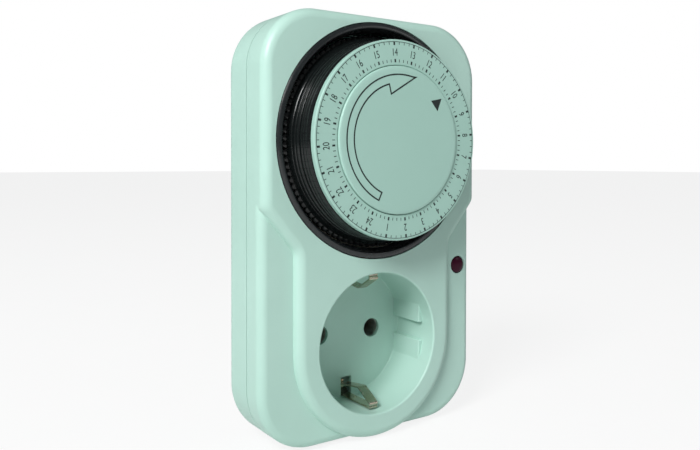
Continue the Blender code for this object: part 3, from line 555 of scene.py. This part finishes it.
def make_front_cover(materials):
    slab_low, slab_high, pad_low = depth(SEAM_DEPTH) + FIT_GAP / 2, depth(FLANK_DEPTH), depth(PAD_DEPTH)
    cover = plate("front_shell", [body_outline(PAD_OVERHANG)], slab_low, slab_high)
    round_edge(cover, (slab_high - slab_low) / 2, FLANK_ROUNDING, CURVE_STEPS)
    pad = plate("pad", [pad_outline(0)], pad_low, FRONT)
    round_edge(pad, (FRONT - pad_low) / 2, PAD_ROUNDING, CURVE_STEPS)
    join(cover, pad)
    cut(cover,
        plate("cavity", [body_outline(WALL)], slab_low - 1, depth(FLANK_DEPTH + WALL)),
        plate("pad_cavity", [pad_outline(WALL + 0.1)], depth(FLANK_DEPTH + WALL + 0.5), depth(WALL)))
    add_socket_cup(cover)
    cut(cover,
        cylinder("dial_hole", BEZEL_RADIUS + FIT_GAP, depth(PAD_DEPTH), FRONT + 1, DIAL_SPOT, ROUND_STEPS),
        cylinder("lamp_hole", LAMP_RADIUS + 0.25, depth(PAD_DEPTH), FRONT, LAMP_SPOT, 48))
    soften(cover, 0.12, 2, 50)
    return finished(shade(cover), "housing", "housing", materials["housing"], "front_cover")


def add_socket_cup(cover):
    """Recess with a rolled rim, pin holes and earth slots, and a notch between flat pads at each side."""
    floor, floor_back = depth(CUP_DEPTH), depth(CUP_DEPTH + CUP_FLOOR)
    rim, fillet, pad_rounding, pad_root = 0.55, 0.4, 0.35, 0.4
    profile = [(0, floor)]
    profile += arc((CUP_RADIUS - fillet, floor + fillet), fillet, -90, 0, 5)
    profile += arc((CUP_RADIUS + rim, FRONT - rim), rim, 180, 90, 5)
    profile += [(CUP_RADIUS + rim, FRONT + 1), (0, FRONT + 1)]
    join(cover, cylinder("cup_wall", CUP_RADIUS + CUP_WALL, floor_back, depth(1), (0, 0), ROUND_STEPS))
    cut(cover, turned("cup_recess", profile, ROUND_STEPS, closed=False))
    for side in (-1, 1):
        across = sorted((side * CUP_PAD_REACH, side * (CUP_RADIUS + pad_root)))
        for end in (-1, 1):
            upright = sorted((end * NOTCH_HALF_WIDTH, end * CUP_PAD_TOP))
            pad = block("cup_pad", across, (depth(CUP_DEPTH + 0.5), depth(CUP_PAD_DEPTH)), upright)
            join(cover, soften(pad, pad_rounding, 3))
        upright = sorted((side * EARTH_SLOT_INNER, side * EARTH_SLOT_OUTER))
        cut(cover,
            cylinder("pin_hole", PIN_HOLE_RADIUS, floor_back - 1, floor + 1, (side * PIN_X, 0), 48),
            block("earth_slot", (-EARTH_SLOT_HALF_WIDTH, EARTH_SLOT_HALF_WIDTH),
                  (floor_back - 1, floor + 1), upright))


def make_rear_cover(materials):
    seam, back = depth(SEAM_DEPTH) - FIT_GAP / 2, depth(BACK_DEPTH)
    floor = back + BACK_WALL
    rim, seat, inside = back + 1.2, back + 2.7, back + 4.5
    well, way, post = 3.2, 1.9, 4.2
    cover = plate("rear_shell", [body_outline(0)], back, seam)
    round_edge(cover, -(seam - back) / 2, BACK_ROUNDING, CURVE_STEPS)
    cut(cover, plate("rear_cavity", [body_outline(WALL)], floor, seam + 1))
    add_plug_base(cover)
    for spot in SCREW_SPOTS:
        cut(cover, cylinder("screw_recess", well + 0.1, back - 1, back + BACK_WALL + 1, spot, 48))
        join(cover, turned("screw_well", [(well, rim), (well, seat), (way, seat), (way, inside),
                                          (post, inside), (post, rim)], 48, spot))
    soften(cover, 0.15, 2, 50)
    return finished(shade(cover), "housing", "housing", materials["housing"], "rear_cover")


def add_plug_base(cover):
    """Round plug base with a chamfered face, side grooves, earth channels and pin holes."""
    back, edge, face_wall = depth(BACK_DEPTH), 0.8, 2.0
    inside = back + BACK_WALL
    profile = [(0, inside - 0.5), (PLUG_RADIUS, inside - 0.5)]
    profile += arc((PLUG_RADIUS - edge, edge), edge, 0, -90, 5) + [(0, 0)]
    join(cover, turned("plug_base", profile, ROUND_STEPS, closed=False))
    cut(cover, cylinder("plug_cavity", PLUG_CAVITY_RADIUS, face_wall, inside + 1, (0, 0), ROUND_STEPS))
    for side in (-1, 1):
        across = sorted((side * PLUG_GROOVE_REACH, side * (PLUG_RADIUS + 1)))
        upright = sorted((side * PLUG_EARTH_REACH, side * (PLUG_RADIUS + 1)))
        cut(cover,
            block("plug_groove", across, (-1, back), (-PLUG_GROOVE_HALF_WIDTH, PLUG_GROOVE_HALF_WIDTH)),
            block("plug_earth_channel", (-EARTH_SLOT_HALF_WIDTH, EARTH_SLOT_HALF_WIDTH),
                  (-1, back), upright),
            cylinder("plug_pin_hole", PIN_RADIUS + FIT_GAP, -1, face_wall + 1, (side * PIN_X, 0), 48))


def make_bezel_ring(materials):
    """Satin ring: a funnel down to the trippers' feet, under a rolled lip on the housing's face."""
    crest, inner_lip, outer_roll = BEZEL_RADIUS - 1.2, 0.5, 1.87
    back, throat = depth(3.0), depth(2.7)
    profile = [(BEZEL_INNER, back), (BEZEL_INNER, throat)]
    profile += arc((crest, BEZEL_FACE - inner_lip), inner_lip, 160, 90, 7)
    profile += arc((crest, BEZEL_FACE - outer_roll), outer_roll, 86, 50, 9)
    profile += [(BEZEL_RADIUS, back)]
    ring = turned("bezel_funnel", profile, DIAL_STEPS, DIAL_SPOT)
    return finished(shade(ring, 30), "housing", "dial_black", materials["bezel_black"], "bezel_ring")


def make_plug_pins(materials):
    """Turned pins with a rounded end."""
    nose, flange_radius, flange_front, flange_back = 1.2, 3.4, 4.1, 2.3
    for name, side in (("live", 1), ("neutral", -1)):
        profile = [(0, flange_front), (flange_radius, flange_front), (flange_radius, flange_back),
                   (PIN_RADIUS, flange_back)]
        profile += arc((PIN_RADIUS - nose, PIN_TIP + nose), nose, 0, -90, 6) + [(0, PIN_TIP)]
        pin = turned(f"pin_{name}", profile, 48, (side * PIN_X, 0), closed=False)
        finished(shade(pin), "housing", "nickel", materials["nickel"], f"plug_pin_{name}")


def make_socket_sleeves(materials):
    """Split contact sleeves whose flared mouths stand right behind the cup's floor."""
    mouth, end = depth(CUP_DEPTH + CUP_FLOOR + 0.05), depth(CUP_DEPTH + CUP_FLOOR + 14.8)
    outer, inner, flare, throat, half_slit = 3.2, 2.5, 2.85, 1.6, 0.25
    for name, side in (("live", 1), ("neutral", -1)):
        profile = [(inner, end), (inner, mouth - throat), (flare, mouth), (outer, mouth), (outer, end)]
        sleeve = turned(f"sleeve_{name}", profile, 48, (side * PIN_X, 0))
        slit = block("slit", (side * PIN_X - half_slit, side * PIN_X + half_slit), (end - 1, mouth - 4),
                     (-4, 4))
        cut(sleeve, slit)
        finished(shade(sleeve), "housing", "nickel", materials["sleeve_tin"], f"socket_sleeve_{name}")


def make_housing_screws(materials):
    """Domed heads with a cross recess."""
    head, shank_radius, head_radius = depth(BACK_DEPTH - 0.3), 1.25, 2.9
    for number, spot in enumerate(SCREW_SPOTS, 1):
        profile = [(0, depth(9.0)), (shank_radius, depth(9.6)), (shank_radius, head + 1.7),
                   (head_radius, head + 1.7), (head_radius, head + 0.7), (2.5, head + 0.25),
                   (1.6, head + 0.04), (0, head)]
        screw = turned(f"screw_{number}", profile, 32, spot, closed=False)
        for angle in (35, 125):
            slot = block("slot", (-1.5, 1.5), (-0.9, 0.9), (-0.3, 0.3))
            slot.location = (spot[0] * MM, -head * MM, spot[1] * MM)
            slot.rotation_euler = (0, math.radians(angle), 0)
            cut(screw, slot)
        finished(shade(screw), "housing", "steel", materials["steel"], f"housing_screw_{number}")


def make_lamp_lens(materials):
    """Low domed lens with a flange behind the wall."""
    dome_top, dome_edge, flange, back = -LENS_LOW.y, depth(2.75), depth(4.8), depth(6.2)
    flange_radius = 2.9
    rise = dome_top - dome_edge
    profile = [(LAMP_RADIUS * math.sin(turn), dome_edge + rise * math.cos(turn))
               for turn in (QUARTER_TURN * step / 8 for step in range(9))]
    profile += [(LAMP_RADIUS, flange), (flange_radius, flange), (flange_radius, back), (0, back)]
    lens = turned("lamp_dome", profile, 64, LAMP_SPOT, closed=False)
    return finished(shade(lens), "housing", "lamp_red", materials["lamp_red"], "lamp_lens")


def make_earth_contacts(materials):
    """Bent strips along the cup's wall and the sprung leaves folded over in front of them."""
    half, thickness = EARTH_HALF_WIDTH, 0.5
    for name, side in (("upper", 1), ("lower", -1)):
        strip = [(depth(3.2), 19.2), (depth(18.5), 19.2), (depth(20.0), 17.9), (2.0, 17.9)]
        leaf = arc((depth(3.75), 18.25), 0.45, 75, -60, 7)
        leaf += arc((depth(9.3), 15.75), 1.0, -60, -96, 5)
        leaf += [(depth(13.5), 15.3), (depth(18.2), 16.0)]
        for kind, path, body in (("strip", strip, "housing"), ("leaf", leaf, f"earth_leaf_{name}")):
            outline = ribbon([(height, side * z) for height, z in path], thickness)
            piece = soften(plate(f"clip_{kind}_{name}", [outline], -half, half, (0, 0), FACING_SIDE),
                           0.1, 2, 60)
            finished(shade(piece, 40), body, "nickel", materials["nickel"], f"earth_{kind}_{name}")


# ---------------------------------------------------------------------------
# Dial
# ---------------------------------------------------------------------------

TRIPPER_FRONT = -6.9
TRIPPER_BACK = 3.6
TRIPPER_OUTER = 30.2
TRIPPER_GAP = 0.06
RIDGE_DEPTHS = [-6.3 + 1.32 * step for step in range(7)]
RIDGE_HALF_WIDTH = 0.28
RIDGE_CUT = 0.17
WALL_ROUNDNESS = 0.02
FOOT_ROUNDNESS = 0.75


def wall_radius(behind):
    """Outer radius of a tripper's flared wall, at a depth behind the housing's front."""
    knots = [(TRIPPER_FRONT, 27.6), (-3.0, 28.0), (0.4, 28.8), (2.3, 29.5)]
    for (start, first), (end, last) in zip(knots, knots[1:]):
        if behind <= end:
            return first + (last - first) * (behind - start) / (end - start)
    return knots[-1][1]


def tripper_section():
    """Radial section of a tripper as (radius, height, roundness of that level)."""
    section = [(TRIPPER_INNER, depth(TRIPPER_FRONT), 0.0),
               (wall_radius(TRIPPER_FRONT) - 0.15, depth(TRIPPER_FRONT), WALL_ROUNDNESS)]
    for ridge in RIDGE_DEPTHS:
        for shift, cut_in in ((-RIDGE_HALF_WIDTH, 0), (0, RIDGE_CUT), (RIDGE_HALF_WIDTH, 0)):
            section.append((wall_radius(ridge + shift) - cut_in, depth(ridge + shift), WALL_ROUNDNESS))
    section += [(29.25, depth(2.25), 0.2), (29.7, depth(2.4), FOOT_ROUNDNESS),
                (30.1, depth(2.62), FOOT_ROUNDNESS), (TRIPPER_OUTER, depth(2.85), FOOT_ROUNDNESS),
                (TRIPPER_OUTER, depth(TRIPPER_BACK), FOOT_ROUNDNESS),
                (TRIPPER_INNER, depth(TRIPPER_BACK), 0.0)]
    return section


def tripper_mesh(name, centres):
    """Trippers at the given angles: wedges with ridged walls and rounded, bead-like feet."""
    shaped = bmesh.new()
    section = tripper_section()
    across = (-1.0, -0.8, -0.45, 0.0, 0.45, 0.8, 1.0)
    half_slope = math.tan(SEGMENT_ANGLE / 2)
    for centre in centres:
        outward = Vector((math.cos(centre), math.sin(centre)))
        sideways = Vector((-outward.y, outward.x))
        columns = []
        for share in across:
            column = []
            for radius, height, roundness in section:
                out = radius - roundness * (1 - math.sqrt(1 - 0.97 * share * share))
                spot = outward * out + sideways * share * (radius * half_slope - TRIPPER_GAP / 2)
                column.append(shaped.verts.new((spot.x * MM, spot.y * MM, height * MM)))
            columns.append(column)
        for left, right in zip(columns, columns[1:]):
            for level in range(len(section)):
                after = (level + 1) % len(section)
                shaped.faces.new((left[level], left[after], right[after], right[level]))
        shaped.faces.new(columns[0])
        shaped.faces.new(list(reversed(columns[-1])))
    bmesh.ops.recalc_face_normals(shaped, faces=shaped.faces)
    mesh = bpy.data.meshes.new(name)
    shaped.to_mesh(mesh)
    shaped.free()
    return place(name, mesh, (DIAL_SPOT[0], 0, DIAL_SPOT[1]), FACING_FRONT)


def segment_centre(number):
    return LONE_START + (number + 0.5) * SEGMENT_ANGLE


def make_trippers(materials):
    groups = [(f"tripper_{number + 1:02d}", [number]) for number in range(LONE_TRIPPERS)]
    for bank in range(BANK_COUNT):
        first = LONE_TRIPPERS + bank * BANK_TRIPPERS
        groups.append((f"tripper_bank_{bank + 1}", range(first, first + BANK_TRIPPERS)))
    for node, numbers in groups:
        piece = tripper_mesh(f"ridged_{node}", [segment_centre(number) for number in numbers])
        finished(shade(piece, 32), node, "dial_black", materials["dial_black"], node)


def make_scale_disc(materials):
    edge, inner_edge, chamfer = 0.3, 0.2, 0.15
    profile = [(DISC_INNER, DISC_BACK)]
    profile += arc((DISC_INNER + inner_edge, DISC_FACE - inner_edge), inner_edge, 180, 90, 3)
    profile += arc((DISC_RADIUS - edge, DISC_FACE - edge), edge, 90, 0, 5)
    profile += [(DISC_RADIUS, DISC_BACK + chamfer), (DISC_RADIUS - chamfer, DISC_BACK)]
    disc = turned("hour_disc", profile, DIAL_STEPS, DIAL_SPOT)
    return finished(shade(disc, 50), "dial", "scale_white", materials["scale_white"], "scale_disc")


def make_centre_cap(materials):
    """Slightly crowned cap whose rim rolls off into the groove round it."""
    roll, stem, back, stem_end = 0.45, 2.3, depth(-8.2), depth(-1.0)
    profile = [(0, CAP_FACE), (CAP_RADIUS - 1.3, CAP_FACE), (CAP_RADIUS - 0.8, CAP_FACE - 0.03)]
    profile += arc((CAP_RADIUS - roll, CAP_FACE - 0.08 - roll), roll, 80, 0, 6)
    profile += [(CAP_RADIUS, back), (stem, back), (stem, stem_end), (0, stem_end)]
    cap = turned("dial_cap", profile, DIAL_STEPS, DIAL_SPOT, closed=False)
    return finished(shade(cap, 50), "housing", "scale_white", materials["scale_white"], "centre_cap")


# ---------------------------------------------------------------------------
# Printing
# ---------------------------------------------------------------------------

INK = 0.03
NUMBER_HEIGHT = 2.1
NUMBER_RADIUS = 23.85
NUMBER_NARROWING = 0.72
FONT_CAP_HEIGHT = 0.73

# Ticks as (inner radius, outer radius, width), for the hours and for the quarters between them
OUTER_TICKS = ((25.85, 26.75, 0.55), (26.0, 26.75, 0.16))
INNER_TICKS = ((21.2, 22.1, 0.5), (21.2, 22.0, 0.18))
# Thin dark ring in ink round the scale: a printed line, and also painted shade standing in for the
# shadowed gap between the disc's rim and its face
SCALE_LINE_AND_GAP_SHADE = (26.86, 26.72)


def print_sheet(name, outlines, level):
    """Flat print on the dial, one outline or one outline with holes to each entry."""
    sheets = [plate(f"{name}_{number}", loops, level, level + INK, DIAL_SPOT)
              for number, loops in enumerate(outlines)]
    return merge(name, sheets)


def merge(name, parts):
    """One mesh out of several objects, which are used up."""
    shaped = bmesh.new()
    bpy.context.view_layer.update()
    for part in parts:
        moved = part.data.copy()
        moved.transform(part.matrix_world)
        shaped.from_mesh(moved)
        bpy.data.meshes.remove(moved)
        bpy.data.objects.remove(part, do_unlink=True)
    mesh = bpy.data.meshes.new(name)
    shaped.to_mesh(mesh)
    shaped.free()
    return place(name, mesh)


def tick(angle, inner, outer, width):
    """Radial bar."""
    outward = Vector((math.cos(angle), math.sin(angle)))
    sideways = Vector((-outward.y, outward.x)) * width / 2
    corners = (outward * inner - sideways, outward * outer - sideways,
               outward * outer + sideways, outward * inner + sideways)
    return [[tuple(corner) for corner in corners]]


def hour_angle(hour):
    return QUARTER_TURN + SCALE_PHASE + (hour - TOP_HOUR) * HOUR_ANGLE


def make_number(hour):
    """Narrow figures that stand on the dial with their tops outward."""
    text = bpy.data.curves.new(f"hour_{hour}", "FONT")
    text.body = str(hour)
    text.size = NUMBER_HEIGHT / FONT_CAP_HEIGHT
    text.align_x = "CENTER"
    text.align_y = "CENTER"
    text.extrude = INK / 2
    text.resolution_u = 4
    drawn = bpy.data.objects.new(f"hour_{hour}", text)
    bpy.context.scene.collection.objects.link(drawn)
    mesh = evaluated_mesh(drawn, f"hour_{hour}")
    bpy.data.objects.remove(drawn, do_unlink=True)
    angle = hour_angle(hour)
    x, z = polar(NUMBER_RADIUS, angle, DIAL_SPOT)
    turn = Matrix.Rotation(angle - QUARTER_TURN, 4, "Z")
    narrow = Matrix.Diagonal((NUMBER_NARROWING * MM, MM, MM, 1))
    mesh.transform(turn @ narrow)
    return place(f"hour_{hour}", mesh, (x, -(DISC_FACE + INK / 2), z), FACING_FRONT)


def make_scale_print(materials):
    """Hour numbers, two rings of quarter-hour ticks and the thin dark ring round the scale, a printed line
    that is also painted shade standing in for the gap between the disc's rim and its face.
    """
    marks = []
    for number in range(SEGMENT_COUNT):
        angle = QUARTER_TURN + SCALE_PHASE + number * SEGMENT_ANGLE
        kind = 0 if number % 4 == 0 else 1
        marks += [tick(angle, *OUTER_TICKS[kind]), tick(angle, *INNER_TICKS[kind])]
    # The ring round the scale: printed line plus painted shade of the gap at the disc's rim
    marks.append([ring_outline(radius, DIAL_STEPS) for radius in SCALE_LINE_AND_GAP_SHADE])
    sheet = print_sheet("scale_marks", marks, DISC_FACE)
    finished(sheet, "dial", "dial_black", materials["ink"])
    numbers = merge("scale_numbers", [make_number(hour) for hour in range(1, 25)])
    finished(numbers, "dial", "dial_black", materials["ink"])


def make_cap_print(materials):
    """Outlined arrow that shows which way the dial turns, and the time pointer."""
    outer, inner, line = 17.9, 15.6, 0.4
    tip, barb = polar(18.1, math.radians(74.3)), polar(12.9, math.radians(105.8))
    neck, head_start, tail = 78, 105.6, 244.8
    path = arc((0, 0), outer, neck, tail, 60) + arc((0, 0), inner, tail, head_start, 50) + [barb, tip]
    time_angle, half_base = 40.0, 6.9
    pointer = [polar(18.7, math.radians(time_angle))]
    for side in (1, -1):
        pointer.append(polar(15.4, math.radians(time_angle + side * half_base)))
    sheet = print_sheet("cap_print", [band_loops(path, line), [pointer]], CAP_FACE)
    finished(sheet, "housing", "dial_black", materials["ink"])


# ---------------------------------------------------------------------------
# Carried-over nodes, studio and camera
# ---------------------------------------------------------------------------

def dress_frame(materials):
    """Give every CAD node that stays the finish of its slot."""
    for subpart in frame["record"]["subparts"]:
        node = frame["nodes"][subpart["node"]]
        node.data.materials.clear()
        node.data.materials.append(materials[subpart["material_slot"]])


FLOOR_GAP = 0.0005
FLOOR_WHITENESS = 0.86
SURROUND_LIGHT = 0.185
CAMERA_SPOT = (-0.12095, -0.20272, 0.05141)


def add_area_light(name, spot, target, size, power):
    light = bpy.data.lights.new(name, "AREA")
    light.shape = "RECTANGLE"
    light.size, light.size_y = size
    light.energy = power
    lamp = bpy.data.objects.new(name, light)
    lamp.location = spot
    lamp.rotation_euler = (Vector(target) - Vector(spot)).to_track_quat("-Z", "Y").to_euler()
    bpy.context.scene.collection.objects.link(lamp)


def brighten_for_camera(material, share):
    """Let the camera see a surface nearer to white, without more light falling on the object."""
    nodes, links = material.node_tree.nodes, material.node_tree.links
    glow = nodes.new("ShaderNodeEmission")
    scale = nodes.new("ShaderNodeMath")
    scale.operation = "MULTIPLY"
    scale.inputs[1].default_value = share
    mix = nodes.new("ShaderNodeMixShader")
    links.new(nodes.new("ShaderNodeLightPath").outputs["Is Camera Ray"], scale.inputs[0])
    links.new(scale.outputs["Value"], mix.inputs["Fac"])
    links.new(nodes["Principled BSDF"].outputs["BSDF"], mix.inputs[1])
    links.new(glow.outputs["Emission"], mix.inputs[2])
    links.new(mix.outputs["Shader"], nodes["Material Output"].inputs["Surface"])


def make_studio(materials):
    """Pale floor, a soft key light from the left with a faint fill from the right, white surroundings."""
    mesh = bpy.data.meshes.new("floor")
    shaped = bmesh.new()
    bmesh.ops.create_grid(shaped, x_segments=1, y_segments=1, size=6)
    shaped.to_mesh(mesh)
    shaped.free()
    floor = bpy.data.objects.new("floor", mesh)
    floor.location.z = cad_bounds[0].z - FLOOR_GAP
    bpy.context.scene.collection.objects.link(floor)
    floor.data.materials.append(materials["floor"])
    brighten_for_camera(materials["floor"], FLOOR_WHITENESS)

    centre = (0, -0.03, 0.035)
    add_area_light("key_left", (-0.68, -0.425, 0.61), centre, (0.34, 0.36), 9.7)
    add_area_light("fill_right", (0.57, -0.70, 0.36), centre, (0.2, 0.3), 0.35)

    world = bpy.data.worlds.new("studio")
    world.use_nodes = True
    nodes, links = world.node_tree.nodes, world.node_tree.links
    seen = nodes["Background"]
    seen.inputs["Color"].default_value = (1, 1, 1, 1)
    seen.inputs["Strength"].default_value = 1.0
    lighting = nodes.new("ShaderNodeBackground")
    lighting.inputs["Color"].default_value = (0.93, 0.97, 1.0, 1)
    lighting.inputs["Strength"].default_value = SURROUND_LIGHT
    mix = nodes.new("ShaderNodeMixShader")
    links.new(nodes.new("ShaderNodeLightPath").outputs["Is Camera Ray"], mix.inputs["Fac"])
    links.new(lighting.outputs["Background"], mix.inputs[1])
    links.new(seen.outputs["Background"], mix.inputs[2])
    links.new(mix.outputs["Shader"], nodes["World Output"].inputs["Surface"])
    bpy.context.scene.world = world
    bpy.context.scene.view_settings.view_transform = "Standard"


def make_camera():
    """Seen from the left of the front, level with the dial's lower half."""
    azimuth, elevation, roll = (math.radians(angle) for angle in (-34.1, 0.89, 0.07))
    back = Vector((math.sin(azimuth) * math.cos(elevation), -math.cos(azimuth) * math.cos(elevation),
                   math.sin(elevation)))
    level = Vector((0, 0, 1)).cross(back).normalized()
    upright = back.cross(level)
    across = level * math.cos(roll) + upright * math.sin(roll)
    upright = upright * math.cos(roll) - level * math.sin(roll)
    camera = bpy.data.objects.new("camera", bpy.data.cameras.new("camera"))
    camera.data.lens = 36.77
    camera.data.sensor_width = 36
    camera.data.shift_y = -0.0729
    camera.data.clip_start = 0.01
    turn = Matrix((across, upright, back)).transposed().to_4x4()
    camera.matrix_world = Matrix.Translation(CAMERA_SPOT) @ turn
    bpy.context.scene.collection.objects.link(camera)
    bpy.context.scene.camera = camera


def build():
    materials = make_materials()
    dress_frame(materials)
    make_front_cover(materials)
    make_rear_cover(materials)
    make_bezel_ring(materials)
    make_plug_pins(materials)
    make_socket_sleeves(materials)
    make_housing_screws(materials)
    make_lamp_lens(materials)
    make_earth_contacts(materials)
    make_trippers(materials)
    make_scale_disc(materials)
    make_centre_cap(materials)
    make_scale_print(materials)
    make_cap_print(materials)
    make_studio(materials)
    make_camera()


build()
